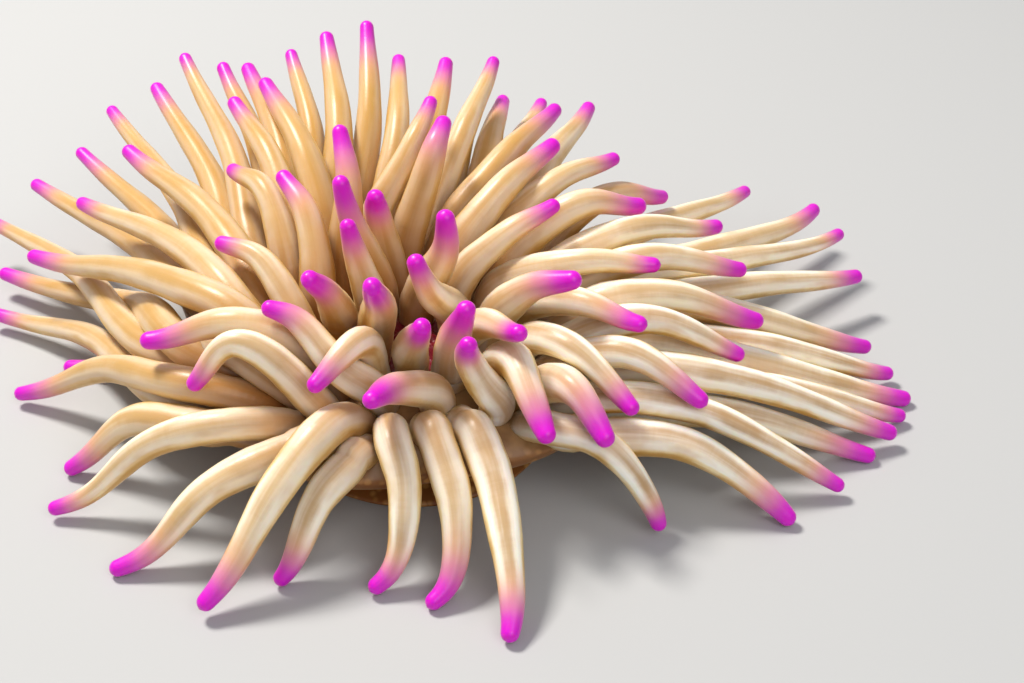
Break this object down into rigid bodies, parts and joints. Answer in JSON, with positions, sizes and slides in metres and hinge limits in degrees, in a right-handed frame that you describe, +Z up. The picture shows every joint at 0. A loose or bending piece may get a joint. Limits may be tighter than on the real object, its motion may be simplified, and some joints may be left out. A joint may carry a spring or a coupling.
{
  "type": "sea anemone",
  "caption": "Life-size sea anemone of the golden anemone kind, column drawn down on a flat foot, long tapering tentacles with violet tips spread over the floor.",
  "frame": {"origin": "centre of the underside of the foot, on the floor", "axes": "+Z up through the mouth, -Y towards the side the mouth is best seen from"},
  "size_m": [0.2597, 0.1907, 0.0696],
  "materials": {
    "trunk": "soft amber-tan flesh, faintly furrowed",
    "disc": "soft greyish tan flesh",
    "lips": "soft wet crimson flesh",
    "tentacle": "soft wet translucent cream flesh, tan along the middle, violet at the tip"
  },
  "bodies": {
    "root": {"foot": "trunk", "column": "trunk", "oral_disc": "disc", "mouth": "lips", "tentacle_first_01": "tentacle", "tentacle_first_02": "tentacle", "tentacle_first_03": "tentacle", "tentacle_first_04": "tentacle", "tentacle_first_05": "tentacle", "tentacle_first_06": "tentacle", "tentacle_second_01": "tentacle", "tentacle_second_02": "tentacle", "tentacle_second_03": "tentacle", "tentacle_second_04": "tentacle", "tentacle_second_05": "tentacle", "tentacle_second_06": "tentacle", "tentacle_third_01": "tentacle", "tentacle_third_02": "tentacle", "tentacle_third_03": "tentacle", "tentacle_third_04": "tentacle", "tentacle_third_05": "tentacle", "tentacle_third_06": "tentacle", "tentacle_third_07": "tentacle", "tentacle_third_08": "tentacle", "tentacle_third_09": "tentacle", "tentacle_third_10": "tentacle", "tentacle_third_11": "tentacle", "tentacle_third_12": "tentacle", "tentacle_fourth_01": "tentacle", "tentacle_fourth_02": "tentacle", "tentacle_fourth_03": "tentacle", "tentacle_fourth_04": "tentacle", "tentacle_fourth_05": "tentacle", "tentacle_fourth_06": "tentacle", "tentacle_fourth_07": "tentacle", "tentacle_fourth_08": "tentacle", "tentacle_fourth_09": "tentacle", "tentacle_fourth_10": "tentacle", "tentacle_fourth_11": "tentacle", "tentacle_fourth_12": "tentacle", "tentacle_fourth_13": "tentacle", "tentacle_fourth_14": "tentacle", "tentacle_fourth_15": "tentacle", "tentacle_fourth_16": "tentacle", "tentacle_fourth_17": "tentacle", "tentacle_fourth_18": "tentacle", "tentacle_fourth_19": "tentacle", "tentacle_fourth_20": "tentacle", "tentacle_fourth_21": "tentacle", "tentacle_fourth_22": "tentacle", "tentacle_fourth_23": "tentacle", "tentacle_fourth_24": "tentacle", "margin_1": "tentacle", "margin_2": "tentacle", "margin_3": "tentacle", "margin_4": "tentacle", "margin_5": "tentacle", "margin_6": "tentacle"}
  },
  "joints": []
}
